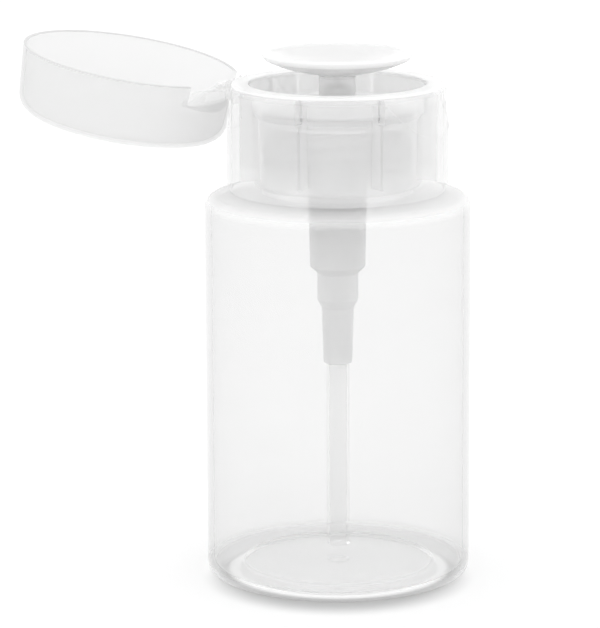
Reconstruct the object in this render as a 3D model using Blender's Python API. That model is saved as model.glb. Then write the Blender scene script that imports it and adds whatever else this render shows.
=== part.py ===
"""Push-down pump bottle with a flip lid that hangs open on its hinge strap.

A clear bottle carries a screw-on closure. Pressing the dish works a piston pump, and the liquid
rises through the stem into the dish. All sizes are in metres. The origin is the centre of the
bottle's base on the resting plane, +Z is up, the lid hangs over -X and the thumb scoop is at +X.
"""
import math

import bmesh
import bpy
from mathutils import Matrix, Vector

MM = 0.001

# Fits and shared finishing sizes
GAP = 0.3 * MM
CUT_OVERRUN = 2.0 * MM
EDGE_ROUND = 0.3 * MM
ROUND_LARGE = 60
ROUND_MEDIUM = 32
ROUND_SMALL = 20
FILLET_STEPS = 3
SHARP_ANGLE = math.radians(35)

# Bottle
BOTTLE_RADIUS = 30.0 * MM
BOTTLE_WALL = 1.5 * MM
HEEL_RADIUS = 2.7 * MM
SHOULDER_RADIUS = 2.8 * MM
SHOULDER_RISE = 0.6 * MM
STANDING_RING_WIDTH = 7.3 * MM
STANDING_RING_INNER = BOTTLE_RADIUS - STANDING_RING_WIDTH
PUSH_UP_DEPTH = 2.0 * MM
FLOOR_THICKNESS = 1.8 * MM
NECK_TOP_Z = 103.4 * MM
NECK_HEIGHT = 15.9 * MM
SHOULDER_Z = NECK_TOP_Z - NECK_HEIGHT
NECK_RADIUS = 16.0 * MM
NECK_FOOT_STEP = 0.7 * MM
NECK_FOOT_RADIUS = NECK_RADIUS + NECK_FOOT_STEP
NECK_FOOT_HEIGHT = 2.0 * MM
NECK_WALL = 1.6 * MM
NECK_BORE = NECK_RADIUS - NECK_WALL
NECK_BORE_TAPER = 0.6 * MM
NECK_BORE_FOOT = NECK_BORE - NECK_BORE_TAPER

# Stack between the neck and the dish well
GASKET_THICKNESS = 0.8 * MM
FLANGE_THICKNESS = 1.0 * MM
DECK_THICKNESS = 1.5 * MM
GASKET_Z = NECK_TOP_Z + GAP
FLANGE_Z = GASKET_Z + GASKET_THICKNESS + GAP
FLANGE_TOP_Z = FLANGE_Z + FLANGE_THICKNESS
DECK_Z = FLANGE_TOP_Z + GAP
WELL_FLOOR_Z = DECK_Z + DECK_THICKNESS

# Collar, the closure's main moulding, from the neck outwards
THREAD_ROOM = 1.05 * MM
SKIRT_BORE = NECK_RADIUS + THREAD_ROOM
SKIRT_WALL_TOP = 2.35 * MM
SKIRT_WALL_FOOT = 1.95 * MM
SKIRT_RADIUS_TOP = SKIRT_BORE + SKIRT_WALL_TOP
SKIRT_RADIUS_FOOT = SKIRT_BORE + SKIRT_WALL_FOOT
WELL_STEP = 0.55 * MM
WELL_RADIUS = SKIRT_RADIUS_TOP + WELL_STEP
WELL_WALL = 1.0 * MM
CHANNEL_WIDTH = 2.85 * MM
COLLAR_WALL = 1.14 * MM
COLLAR_RADIUS = WELL_RADIUS + WELL_WALL + CHANNEL_WIDTH + COLLAR_WALL
COLLAR_CLEARANCE = 1.1 * MM
COLLAR_FOOT_Z = SHOULDER_Z + COLLAR_CLEARANCE
COLLAR_FOOT_CHAMFER = 0.74 * MM
COLLAR_FOOT_RISE = 1.9 * MM
WELL_DEPTH = 5.33 * MM
TOP_RING_Z = WELL_FLOOR_Z + WELL_DEPTH
TOP_RING_HEIGHT = 1.43 * MM
LEDGE_Z = TOP_RING_Z - TOP_RING_HEIGHT
LEDGE_WIDTH = 1.17 * MM
TOP_RING_RADIUS = COLLAR_RADIUS - LEDGE_WIDTH
TOP_RING_THICKNESS = 0.9 * MM
SKIRT_RECESS = 1.0 * MM
SKIRT_FOOT_Z = COLLAR_FOOT_Z + SKIRT_RECESS
SKIRT_FOOT_ROUND = 1.5 * MM
RETAINING_BEAD = 0.6 * MM
WEB_COUNT = 8
UPPER_WEB_THICKNESS = 1.75 * MM
LOWER_WEB_THICKNESS = 1.2 * MM
LOWER_WEB_RECESS = 3.4 * MM
LOWER_WEB_FOOT_Z = COLLAR_FOOT_Z + LOWER_WEB_RECESS
SCOOP_DEPTH = 0.5 * MM
SCOOP_RADIUS = 20.0 * MM
SCOOP_CENTRE_RISE = 10.0 * MM
SCOOP_CENTRE_Z = LEDGE_Z + SCOOP_CENTRE_RISE

# Hinge between collar and lid, along Y
KNUCKLE_HALF_WIDTH = 5.35 * MM
KNUCKLE_RADIUS = 0.75 * MM
PIN_RADIUS = 0.35 * MM
EAR_WALL = 0.45 * MM
EAR_RADIUS = PIN_RADIUS + GAP + EAR_WALL
EAR_WIDTH = 1.5 * MM
HINGE_CLEARANCE = 0.27 * MM
HINGE_RISE = 0.07 * MM
HINGE_X = -(COLLAR_RADIUS - SCOOP_DEPTH + HINGE_CLEARANCE + KNUCKLE_RADIUS)
HINGE_Z = LEDGE_Z + HINGE_RISE
LID_OPEN_ANGLE = math.radians(169.3)

# Flip lid
LID_RIM_Z = LEDGE_Z + GAP
LID_RIM_INSET = 0.01 * MM
LID_RIM_RADIUS = COLLAR_RADIUS - LID_RIM_INSET
LID_RIM_WALL = LID_RIM_RADIUS - TOP_RING_RADIUS - GAP
LID_TAPER = 0.99 * MM
LID_TOP_RADIUS = LID_RIM_RADIUS - LID_TAPER
LID_HEIGHT = 15.4 * MM
LID_CORNER_RADIUS = 4.07 * MM
LID_WALL = 1.0 * MM
NOTCH_HALF_WIDTH = 13.4 * MM
NOTCH_DEPTH = 4.6 * MM
NOTCH_ROUND = 1.0 * MM

# Hinge strap: half its width, as a share of the notch's, at shares of the notch's depth
STRAP_OUTLINE_SHARES = [(0.0, 0.40), (0.08, 0.46), (0.22, 0.61), (0.50, 0.81), (0.80, 0.93), (1.0, 0.97)]
PAD_DROP = 2.4 * MM
PAD_CORNER_DROP = 0.35 * MM
PAD_THICKNESS = 0.7 * MM
PAD_START = 1.6 * MM

# Pump travel and piston
STROKE = 6.0 * MM
OUTLET_BALL_RADIUS = 1.4 * MM
VALVE_CAGE_RADIUS = OUTLET_BALL_RADIUS + GAP
VALVE_CAGE_DEPTH = 3.3 * MM
VALVE_SEAT_DEPTH = 0.7 * MM
VALVE_SEAT_LAP = 0.4 * MM
VALVE_SEAT_RADIUS = OUTLET_BALL_RADIUS - VALVE_SEAT_LAP
STEM_WALL = 1.03 * MM
STEM_RADIUS = VALVE_CAGE_RADIUS + STEM_WALL
STEM_BORE = 1.2 * MM
STEM_FLANGE_THICKNESS = 0.8 * MM
STEM_FOOT_LENGTH = 6.3 * MM
SEAT_FLANGE_THICKNESS = 1.0 * MM
SEAT_SPIGOT_RADIUS = 1.6 * MM
SEAT_SPIGOT_LENGTH = 3.9 * MM
SEAT_BORE = 1.0 * MM

# Dispensing dish and its stem tube
DISH_CLEARANCE = 3.01 * MM
DISH_RADIUS = WELL_RADIUS - DISH_CLEARANCE
DISH_FLOOR_CLEARANCE = 1.1 * MM
DISH_UNDERSIDE_Z = WELL_FLOOR_Z + STROKE + DISH_FLOOR_CLEARANCE
DISH_HEIGHT = 5.1 * MM
DISH_RIM_Z = DISH_UNDERSIDE_Z + DISH_HEIGHT
DISH_RIM_WIDTH = 0.6 * MM
DISH_RIM_HEIGHT = 0.6 * MM
DISH_THICKNESS = 1.3 * MM
TUBE_WALL = 1.07 * MM
TUBE_RADIUS = STEM_RADIUS + GAP + TUBE_WALL
TUBE_GUIDE_DEPTH = 2.6 * MM
TUBE_FOOT_Z = WELL_FLOOR_Z - TUBE_GUIDE_DEPTH
SOCKET_ROOF = 2.5 * MM
SOCKET_TOP_Z = DISH_UNDERSIDE_Z - SOCKET_ROOF
OUTLET_FOOT_RADIUS = 0.73 * MM
OUTLET_TOP_RADIUS = 1.1 * MM

# Closure insert
INSERT_FLANGE_RADIUS = SKIRT_BORE - GAP
PLUG_RADIUS = NECK_BORE - GAP
PLUG_WALL = 1.2 * MM
PLUG_DEPTH = 5.3 * MM
PLUG_FOOT_Z = FLANGE_Z - PLUG_DEPTH
CUP_WALL = 0.95 * MM
CUP_FLOOR_THICKNESS = 1.2 * MM
CUP_DEPTH_CLEARANCE = 2 * GAP
SNAP_RING_WALL = 0.8 * MM
SNAP_RING_DEPTH = 4.3 * MM
SNAP_RING_FOOT_Z = FLANGE_Z - SNAP_RING_DEPTH

# Pump housing, from its top down to the dip tube's socket
HOUSING_BORE = 5.2 * MM
HOUSING_WALL_TOP = 1.75 * MM
HOUSING_WALL_FOOT = 1.05 * MM
HOUSING_TOP_RADIUS = HOUSING_BORE + HOUSING_WALL_TOP
HOUSING_FOOT_RADIUS = HOUSING_BORE + HOUSING_WALL_FOOT
HOUSING_LENGTH = 33.8 * MM
HOUSING_FOOT_Z = FLANGE_Z - HOUSING_LENGTH
HOUSING_FLOOR_DROP = 0.1 * MM
HOUSING_FLOOR_Z = HOUSING_FOOT_Z - HOUSING_FLOOR_DROP
INLET_BALL_RADIUS = 2.4 * MM
BALL_ROOM = 1.0 * MM
BALL_CHAMBER_RADIUS = INLET_BALL_RADIUS + BALL_ROOM
BALL_SEAT_LAP = 0.4 * MM
BALL_SEAT_RADIUS = INLET_BALL_RADIUS - BALL_SEAT_LAP
STEP_WALL = 1.25 * MM
STEP_RADIUS = BALL_CHAMBER_RADIUS + STEP_WALL
STEP_SLOPE = 1.55 * MM
STEP_LENGTH = 5.95 * MM
STEP_TOP_Z = HOUSING_FOOT_Z - STEP_SLOPE
STEP_FOOT_Z = STEP_TOP_Z - STEP_LENGTH
BALL_SEAT_DROP = 0.7 * MM
BALL_SEAT_Z = STEP_FOOT_Z - BALL_SEAT_DROP
BALL_SEAT_HEIGHT = 2.4 * MM
BALL_BEAD_RISE = 4.1 * MM
BALL_BEAD_Z = BALL_SEAT_Z + BALL_BEAD_RISE
BALL_BEAD_DEPTH = 1.2 * MM
BALL_CLEARANCE = 0.2 * MM
STEM_FLANGE_CLEARANCE = 0.9 * MM
STEM_FLANGE_RADIUS = HOUSING_BORE - STEM_FLANGE_CLEARANCE

# Dip tube and the housing's tail, which holds it
DIP_TUBE_RADIUS = 2.6 * MM
DIP_TUBE_WALL = 0.65 * MM
DIP_TUBE_CLEARANCE = 1.9 * MM
DIP_TUBE_FOOT_Z = FLOOR_THICKNESS + PUSH_UP_DEPTH + DIP_TUBE_CLEARANCE
DIP_TUBE_DROP = 2.5 * MM
DIP_TUBE_TOP_Z = BALL_SEAT_Z - DIP_TUBE_DROP
TAIL_SLOPE = 2.0 * MM
TAIL_LENGTH = 12.9 * MM
TAIL_TOP_Z = STEP_FOOT_Z - TAIL_SLOPE
TAIL_FOOT_Z = TAIL_TOP_Z - TAIL_LENGTH
TAIL_WALL_TOP = 0.75 * MM
TAIL_WALL_FOOT = 0.4 * MM
TAIL_TOP_RADIUS = DIP_TUBE_RADIUS + GAP + TAIL_WALL_TOP
TAIL_FOOT_RADIUS = DIP_TUBE_RADIUS + GAP + TAIL_WALL_FOOT

# Return spring
SPRING_WIRE_RADIUS = 0.45 * MM
SPRING_ROOM = 1.0 * MM
SPRING_MEAN_RADIUS = HOUSING_BORE - SPRING_ROOM
SPRING_TURNS = 8
SPRING_END_TURNS = 0.75
SPRING_POINTS_PER_TURN = 9
SPRING_LEAST_GAP = 0.4 * MM


def clear_scene():
    for item in list(bpy.data.objects):
        bpy.data.objects.remove(item, do_unlink=True)


def plastic(name, colour, roughness, metallic=0.0, transmission=0.0):
    """A material of its own for one piece."""
    material = bpy.data.materials.new(name + "_material")
    material.use_nodes = True
    shader = material.node_tree.nodes["Principled BSDF"]
    shader.inputs["Base Color"].default_value = (*colour, 1.0)
    shader.inputs["Roughness"].default_value = roughness
    shader.inputs["Metallic"].default_value = metallic
    shader.inputs["Transmission Weight"].default_value = transmission
    material.diffuse_color = (*colour, 1.0)
    return material


def outline(corners):
    """The points of an outline in a plane. A corner with a third value is rounded to that radius."""
    points = []
    count = len(corners)
    for index, corner in enumerate(corners):
        here = Vector(corner[:2])
        if len(corner) == 2:
            points.append(here)
            continue
        before = (Vector(corners[index - 1][:2]) - here).normalized()
        after = (Vector(corners[(index + 1) % count][:2]) - here).normalized()
        half_angle = before.angle(after) / 2
        radius = corner[2]
        centre = here + (before + after).normalized() * (radius / math.sin(half_angle))
        start = here + before * (radius / math.tan(half_angle)) - centre
        turn = math.pi - 2 * half_angle
        turn = math.copysign(turn, start.y * before.x - start.x * before.y)
        for step in range(FILLET_STEPS + 1):
            points.append(centre + Matrix.Rotation(turn * step / FILLET_STEPS, 2) @ start)
    return points


def finish(name, mesh_data, material=None):
    """Makes a named object of a bmesh, faces outwards, smooth apart from its sharp edges."""
    bmesh.ops.recalc_face_normals(mesh_data, faces=mesh_data.faces)
    mesh = bpy.data.meshes.new(name)
    mesh_data.to_mesh(mesh)
    mesh_data.free()
    mesh.shade_smooth()
    mesh.set_sharp_from_angle(angle=SHARP_ANGLE)
    item = bpy.data.objects.new(name, mesh)
    bpy.context.scene.collection.objects.link(item)
    if material:
        mesh.materials.append(material)
    return item


def revolve(name, corners, segments, material=None):
    """Turns a closed (radius, z) outline about Z. Points on the axis become one vertex."""
    mesh_data = bmesh.new()
    rings = []
    for point in outline(corners):
        if point.x <= 0:
            rings.append([mesh_data.verts.new((0, 0, point.y))] * segments)
            continue
        turns = [2 * math.pi * step / segments for step in range(segments)]
        rings.append([
            mesh_data.verts.new((point.x * math.cos(a), point.x * math.sin(a), point.y)) for a in turns
        ])
    for ring, following in zip(rings, rings[1:] + rings[:1]):
        for step in range(segments):
            after = (step + 1) % segments
            corners_of_face = [ring[step], ring[after], following[after], following[step]]
            unique = list(dict.fromkeys(corners_of_face))
            if len(unique) > 2:
                mesh_data.faces.new(unique)
    return finish(name, mesh_data, material)


def prism(points, place):
    """A bmesh of a flat outline given two depths. place(point, side) gives the position in space."""
    mesh_data = bmesh.new()
    add_prism(mesh_data, points, place)
    return mesh_data


def add_prism(mesh_data, points, place):
    ends = [[mesh_data.verts.new(place(point, side)) for point in points] for side in (0, 1)]
    mesh_data.faces.new(ends[0])
    mesh_data.faces.new(ends[1])
    for index in range(len(points)):
        after = (index + 1) % len(points)
        mesh_data.faces.new([ends[0][index], ends[0][after], ends[1][after], ends[1][index]])


def combine(target, tool, operation):
    """Cuts, joins or intersects target with tool, which is used up."""
    modifier = target.modifiers.new(operation.lower(), "BOOLEAN")
    modifier.operation = operation
    modifier.solver = "EXACT"
    modifier.object = tool
    graph = bpy.context.evaluated_depsgraph_get()
    result = bpy.data.meshes.new_from_object(target.evaluated_get(graph))
    target.modifiers.clear()
    target.data = result
    bpy.data.objects.remove(tool, do_unlink=True)
    target.data.shade_smooth()
    target.data.set_sharp_from_angle(angle=SHARP_ANGLE)
    return target


def set_origin(item, point):
    """Puts the object's origin on the axis that the piece turns about, and leaves the shape where it is."""
    item.data.transform(Matrix.Translation(-Vector(point)))
    item.location = point


def make_bottle():
    inner = BOTTLE_RADIUS - BOTTLE_WALL
    push_up_edge = STANDING_RING_INNER - PUSH_UP_DEPTH / 2
    inner_shoulder_z = SHOULDER_Z - BOTTLE_WALL
    neck_foot_z = SHOULDER_Z + SHOULDER_RISE
    corners = [
        (0, PUSH_UP_DEPTH),
        (push_up_edge, PUSH_UP_DEPTH * 0.8, PUSH_UP_DEPTH * 0.4),
        (STANDING_RING_INNER, 0),
        (BOTTLE_RADIUS, 0, HEEL_RADIUS),
        (BOTTLE_RADIUS, SHOULDER_Z, SHOULDER_RADIUS),
        (NECK_FOOT_RADIUS, neck_foot_z),
        (NECK_FOOT_RADIUS, neck_foot_z + NECK_FOOT_HEIGHT, EDGE_ROUND),
        (NECK_RADIUS, neck_foot_z + NECK_FOOT_HEIGHT + (NECK_FOOT_RADIUS - NECK_RADIUS)),
        (NECK_RADIUS, NECK_TOP_Z, EDGE_ROUND),
        (NECK_BORE, NECK_TOP_Z, EDGE_ROUND),
        (NECK_BORE, PLUG_FOOT_Z),
        (NECK_BORE_FOOT, neck_foot_z),
        (NECK_BORE_FOOT, neck_foot_z - BOTTLE_WALL, BOTTLE_WALL / 2),
        (inner, inner_shoulder_z, SHOULDER_RADIUS - BOTTLE_WALL),
        (inner, FLOOR_THICKNESS, HEEL_RADIUS - BOTTLE_WALL),
        (push_up_edge, FLOOR_THICKNESS),
        (push_up_edge - PUSH_UP_DEPTH, FLOOR_THICKNESS + PUSH_UP_DEPTH * 0.7),
        (0, FLOOR_THICKNESS + PUSH_UP_DEPTH),
    ]
    material = plastic("bottle", (0.94, 0.95, 0.96), 0.04, transmission=1.0)
    return revolve("bottle", corners, ROUND_LARGE, material)


def collar_webs(name, thickness, points, angles):
    """Upright webs of one (radius, z) outline, set round the axis at the given angles."""
    mesh_data = bmesh.new()
    for angle in angles:
        outward = Vector((math.cos(angle), math.sin(angle), 0))
        sideways = Vector((-math.sin(angle), math.cos(angle), 0)) * thickness

        def place(point, side):
            return outward * point[0] + Vector((0, 0, point[1])) + sideways * (side - 0.5)

        add_prism(mesh_data, points, place)
    return finish(name, mesh_data)


def scoop_cutter(side):
    """What a thumb scoop takes away: a shallow ring slice inside a round outline seen from the side."""
    disc = [
        (SCOOP_RADIUS * math.cos(angle), SCOOP_CENTRE_Z + SCOOP_RADIUS * math.sin(angle))
        for angle in [2 * math.pi * step / ROUND_LARGE for step in range(ROUND_LARGE)]
    ]
    reach = COLLAR_RADIUS + CUT_OVERRUN
    cutter = finish("scoop", prism(disc, lambda p, end: Vector((side * reach * end, p[0], p[1]))))
    base = COLLAR_RADIUS - SCOOP_DEPTH
    foot, top = COLLAR_FOOT_Z, SCOOP_CENTRE_Z + SCOOP_RADIUS + CUT_OVERRUN
    core = revolve("scoop_core", [(0, foot), (base, foot), (base, top), (0, top)], ROUND_LARGE)
    return combine(cutter, core, "DIFFERENCE")


def hinge_ears():
    """Two ears on the collar's edge. Each has a hole for the strap's pin."""
    root_x = -(COLLAR_RADIUS - SCOOP_DEPTH - COLLAR_WALL)
    round_part = [
        (HINGE_X + EAR_RADIUS * math.cos(angle), HINGE_Z + EAR_RADIUS * math.sin(angle))
        for angle in [math.radians(60 + 24 * step) for step in range(11)]
    ]
    points = [(root_x, LEDGE_Z - EAR_RADIUS * 2.4), (root_x, LEDGE_Z - GAP)] + round_part
    hole = [
        (HINGE_X + (PIN_RADIUS + GAP) * math.cos(angle), HINGE_Z + (PIN_RADIUS + GAP) * math.sin(angle))
        for angle in [2 * math.pi * step / ROUND_SMALL for step in range(ROUND_SMALL)]
    ]
    ears = bmesh.new()
    holes = bmesh.new()
    inner_face = KNUCKLE_HALF_WIDTH + GAP
    for side in (-1, 1):
        add_prism(ears, points, lambda p, end: Vector((p[0], side * (inner_face + EAR_WIDTH * end), p[1])))
        start, length = inner_face - CUT_OVERRUN / 2, EAR_WIDTH + CUT_OVERRUN
        add_prism(holes, hole, lambda p, end: Vector((p[0], side * (start + length * end), p[1])))
    return finish("ears", ears), finish("ear_holes", holes)


def make_collar():
    wall_inner = COLLAR_RADIUS - COLLAR_WALL
    ring_foot_z = TOP_RING_Z - TOP_RING_THICKNESS
    well_outer = WELL_RADIUS + WELL_WALL
    bead_z = FLANGE_Z - 2 * GAP
    corners = [
        (wall_inner, COLLAR_FOOT_Z),
        (COLLAR_RADIUS - COLLAR_FOOT_CHAMFER, COLLAR_FOOT_Z),
        (COLLAR_RADIUS, COLLAR_FOOT_Z + COLLAR_FOOT_RISE),
        (COLLAR_RADIUS, LEDGE_Z, EDGE_ROUND),
        (TOP_RING_RADIUS, LEDGE_Z),
        (TOP_RING_RADIUS, TOP_RING_Z, EDGE_ROUND),
        (WELL_RADIUS, TOP_RING_Z, EDGE_ROUND),
        (WELL_RADIUS, WELL_FLOOR_Z, EDGE_ROUND * 2),
        (TUBE_RADIUS + GAP, WELL_FLOOR_Z),
        (TUBE_RADIUS + GAP, DECK_Z),
        (SKIRT_BORE, DECK_Z),
        (SKIRT_BORE, bead_z + RETAINING_BEAD / 2),
        (SKIRT_BORE - RETAINING_BEAD, bead_z),
        (SKIRT_BORE, bead_z - RETAINING_BEAD),
        (SKIRT_BORE, SKIRT_FOOT_Z + EDGE_ROUND),
        (SKIRT_BORE + EDGE_ROUND, SKIRT_FOOT_Z),
        (SKIRT_RADIUS_FOOT, SKIRT_FOOT_Z, SKIRT_FOOT_ROUND),
        (SKIRT_RADIUS_TOP, DECK_Z - EDGE_ROUND),
        (well_outer, WELL_FLOOR_Z - EDGE_ROUND),
        (well_outer, ring_foot_z),
        (wall_inner - WELL_WALL, ring_foot_z),
        (wall_inner, ring_foot_z - WELL_WALL),
    ]
    material = plastic("collar", (0.93, 0.935, 0.94), 0.35, transmission=0.6)
    collar = revolve("collar", corners, ROUND_LARGE, material)
    buried = COLLAR_WALL * 0.25
    web_outer = wall_inner + buried
    upper_foot_z = DECK_Z + buried
    upper = [
        (WELL_RADIUS + WELL_WALL / 2, upper_foot_z),
        (web_outer, upper_foot_z),
        (web_outer, ring_foot_z - WELL_WALL),
        (wall_inner - WELL_WALL, ring_foot_z + buried),
        (WELL_RADIUS + WELL_WALL / 2, ring_foot_z + buried),
    ]
    lower = [
        (SKIRT_RADIUS_FOOT - buried, LOWER_WEB_FOOT_Z),
        (web_outer - buried / 2, LOWER_WEB_FOOT_Z),
        (web_outer - buried / 2, upper_foot_z + buried),
        (SKIRT_RADIUS_FOOT - buried, upper_foot_z + buried),
    ]
    angles = [2 * math.pi * step / WEB_COUNT for step in range(WEB_COUNT)]
    combine(collar, collar_webs("upper_webs", UPPER_WEB_THICKNESS, upper, angles), "UNION")
    combine(collar, collar_webs("lower_webs", LOWER_WEB_THICKNESS, lower, angles), "UNION")
    for side in (-1, 1):
        combine(collar, scoop_cutter(side), "DIFFERENCE")
    ears, holes = hinge_ears()
    combine(collar, ears, "UNION")
    combine(collar, holes, "DIFFERENCE")
    return collar


def open_pose():
    """Takes the lid and its strap from the closed pose to the open one, about the hinge line."""
    hinge = Vector((HINGE_X, 0, HINGE_Z))
    swing = Matrix.Rotation(-LID_OPEN_ANGLE, 4, "Y")
    return Matrix.Translation(hinge) @ swing @ Matrix.Translation(-hinge)


def side_prism(name, points, near, far):
    """A block with a (y, z) outline that runs along X from near to far."""
    return finish(name, prism(outline(points), lambda p, end: Vector((near + (far - near) * end, p.x, p.y))))


def lid_inner_radius(height):
    """The lid's inner radius at a height above its rim."""
    share = height / LID_HEIGHT
    return LID_RIM_RADIUS - LID_RIM_WALL + (LID_TOP_RADIUS - LID_WALL - LID_RIM_RADIUS + LID_RIM_WALL) * share


def make_lid():
    top_z = LID_RIM_Z + LID_HEIGHT
    inner_corner = LID_CORNER_RADIUS - LID_WALL
    corners = [
        (LID_RIM_RADIUS, LID_RIM_Z),
        (LID_TOP_RADIUS, top_z, LID_CORNER_RADIUS),
        (0, top_z),
        (0, top_z - LID_WALL),
        (lid_inner_radius(LID_HEIGHT - LID_WALL), top_z - LID_WALL, inner_corner),
        (lid_inner_radius(0), LID_RIM_Z),
    ]
    material = plastic("flip_lid", (0.93, 0.935, 0.94), 0.3, transmission=0.7)
    lid = revolve("flip_lid", corners, ROUND_LARGE, material)
    notch = [
        (-NOTCH_HALF_WIDTH, LID_RIM_Z - CUT_OVERRUN),
        (NOTCH_HALF_WIDTH, LID_RIM_Z - CUT_OVERRUN),
        (NOTCH_HALF_WIDTH, LID_RIM_Z + NOTCH_DEPTH, NOTCH_ROUND),
        (-NOTCH_HALF_WIDTH, LID_RIM_Z + NOTCH_DEPTH, NOTCH_ROUND),
    ]
    combine(lid, side_prism("notch", notch, 0, -LID_RIM_RADIUS - CUT_OVERRUN), "DIFFERENCE")
    lid.data.transform(open_pose())
    set_origin(lid, (HINGE_X, 0, HINGE_Z))
    return lid


def strap_plate(name, inner, outer, points):
    """A piece of the curved wall between two radii, inside a (y, z) outline."""
    foot, top = LID_RIM_Z - CUT_OVERRUN, LID_RIM_Z + LID_HEIGHT
    ring = [(inner, foot), (outer, foot), (outer, top), (inner, top)]
    plate = revolve(name, ring, ROUND_LARGE)
    return combine(plate, side_prism("strap_outline", points, 0, -LID_RIM_RADIUS - CUT_OVERRUN), "INTERSECT")


def make_hinge_strap():
    inner = lid_inner_radius(0)
    pad_outer = lid_inner_radius(NOTCH_DEPTH) - GAP
    pad_inner = pad_outer - PAD_THICKNESS
    fill_height = NOTCH_DEPTH - GAP
    fill_width = NOTCH_HALF_WIDTH - GAP
    edge = [(width * fill_width, LID_RIM_Z + height * fill_height) for height, width in STRAP_OUTLINE_SHARES]
    mirrored = [(-y, z) for y, z in reversed(edge)]
    strap = strap_plate("hinge_strap", inner, LID_RIM_RADIUS - PIN_RADIUS / 5, edge + mirrored)
    raised = [point for point in edge if point[1] > LID_RIM_Z + PAD_START]
    raised = [(raised[0][0], LID_RIM_Z + PAD_START)] + raised
    arc = []
    for step in range(1, ROUND_SMALL):
        across = math.cos(math.pi * step / ROUND_SMALL)
        bulge = PAD_CORNER_DROP + (PAD_DROP - PAD_CORNER_DROP) * (1 - across * across)
        arc.append((edge[-1][0] * across, LID_RIM_Z + NOTCH_DEPTH + bulge))
    pad_edge = raised + arc + [(-y, z) for y, z in reversed(raised)]
    combine(strap, strap_plate("pad", pad_inner, pad_outer, pad_edge), "UNION")
    bridge_top = LID_RIM_Z + fill_height
    bridge_half = fill_width * STRAP_OUTLINE_SHARES[2][1]
    bridge = [
        (-bridge_half, LID_RIM_Z + PAD_START),
        (bridge_half, LID_RIM_Z + PAD_START),
        (bridge_half, bridge_top - GAP),
        (-bridge_half, bridge_top - GAP),
    ]
    combine(strap, strap_plate("bridge", pad_inner + PAD_THICKNESS / 2, inner + PAD_THICKNESS / 2, bridge), "UNION")
    knuckle = bmesh.new()
    barrel = [
        (HINGE_X + KNUCKLE_RADIUS * math.cos(angle), HINGE_Z + KNUCKLE_RADIUS * math.sin(angle))
        for angle in [math.radians(100 + 25 * step) for step in range(12)]
    ]
    root_x = -(LID_RIM_RADIUS - LID_RIM_WALL * 0.9)
    web = [(root_x, LID_RIM_Z + GAP / 3), (root_x, LID_RIM_Z + PAD_START)]
    half = KNUCKLE_HALF_WIDTH
    add_prism(knuckle, web + barrel, lambda p, end: Vector((p[0], half * (2 * end - 1), p[1])))
    combine(strap, finish("knuckle", knuckle), "UNION")
    pin = bmesh.new()
    reach = KNUCKLE_HALF_WIDTH + GAP + EAR_WIDTH
    circle = [
        (HINGE_X + PIN_RADIUS * math.cos(angle), HINGE_Z + PIN_RADIUS * math.sin(angle))
        for angle in [2 * math.pi * step / ROUND_SMALL for step in range(ROUND_SMALL)]
    ]
    add_prism(pin, circle, lambda p, end: Vector((p[0], reach * (2 * end - 1), p[1])))
    combine(strap, finish("pin", pin), "UNION")
    strap.data.transform(open_pose())
    strap.data.materials.append(plastic("hinge_strap", (0.92, 0.925, 0.93), 0.4, transmission=0.5))
    set_origin(strap, (HINGE_X, 0, HINGE_Z))
    return strap


def make_dish():
    rim_foot_z = DISH_RIM_Z - DISH_RIM_HEIGHT
    bowl_radius = DISH_RADIUS - DISH_RIM_WIDTH
    middle_radius, inner_radius = DISH_RADIUS * 0.70, DISH_RADIUS * 0.34
    middle_z = DISH_UNDERSIDE_Z + (rim_foot_z - DISH_UNDERSIDE_Z) * 0.38
    inner_z = DISH_UNDERSIDE_Z + (rim_foot_z - DISH_UNDERSIDE_Z) * 0.07
    outer_radius, outer_z = bowl_radius, DISH_UNDERSIDE_Z + (rim_foot_z - DISH_UNDERSIDE_Z) * 0.78
    top_z = DISH_UNDERSIDE_Z + DISH_THICKNESS
    corners = [
        (OUTLET_FOOT_RADIUS, SOCKET_TOP_Z),
        (STEM_RADIUS + GAP, SOCKET_TOP_Z),
        (STEM_RADIUS + GAP, TUBE_FOOT_Z),
        (TUBE_RADIUS, TUBE_FOOT_Z, EDGE_ROUND),
        (TUBE_RADIUS, DISH_UNDERSIDE_Z, EDGE_ROUND),
        (inner_radius, inner_z),
        (middle_radius, middle_z),
        (outer_radius, outer_z),
        (DISH_RADIUS, rim_foot_z),
        (DISH_RADIUS, DISH_RIM_Z, DISH_RIM_WIDTH / 3),
        (bowl_radius, DISH_RIM_Z, DISH_RIM_WIDTH / 3),
        (bowl_radius - DISH_RIM_WIDTH, rim_foot_z),
        (middle_radius, middle_z + DISH_THICKNESS),
        (inner_radius, inner_z + DISH_THICKNESS),
        (OUTLET_TOP_RADIUS, top_z),
    ]
    material = plastic("dispensing_dish", (0.93, 0.935, 0.94), 0.3, transmission=0.6)
    dish = revolve("dispensing_dish", corners, ROUND_MEDIUM, material)
    set_origin(dish, (0, 0, DISH_UNDERSIDE_Z))
    return dish


def piston_levels():
    """Heights of the piston's pieces, worked down from the cup of the closure insert."""
    cup_floor_top = TUBE_FOOT_Z - STROKE - CUP_DEPTH_CLEARANCE
    cup_foot = cup_floor_top - CUP_FLOOR_THICKNESS
    flange_top = cup_foot - GAP
    flange_foot = flange_top - STEM_FLANGE_THICKNESS
    stem_foot = flange_foot - STEM_FOOT_LENGTH + STEM_FLANGE_THICKNESS
    seat_top = stem_foot - GAP
    seat_foot = seat_top - SEAT_FLANGE_THICKNESS
    return cup_floor_top, cup_foot, flange_top, flange_foot, stem_foot, seat_top, seat_foot


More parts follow.
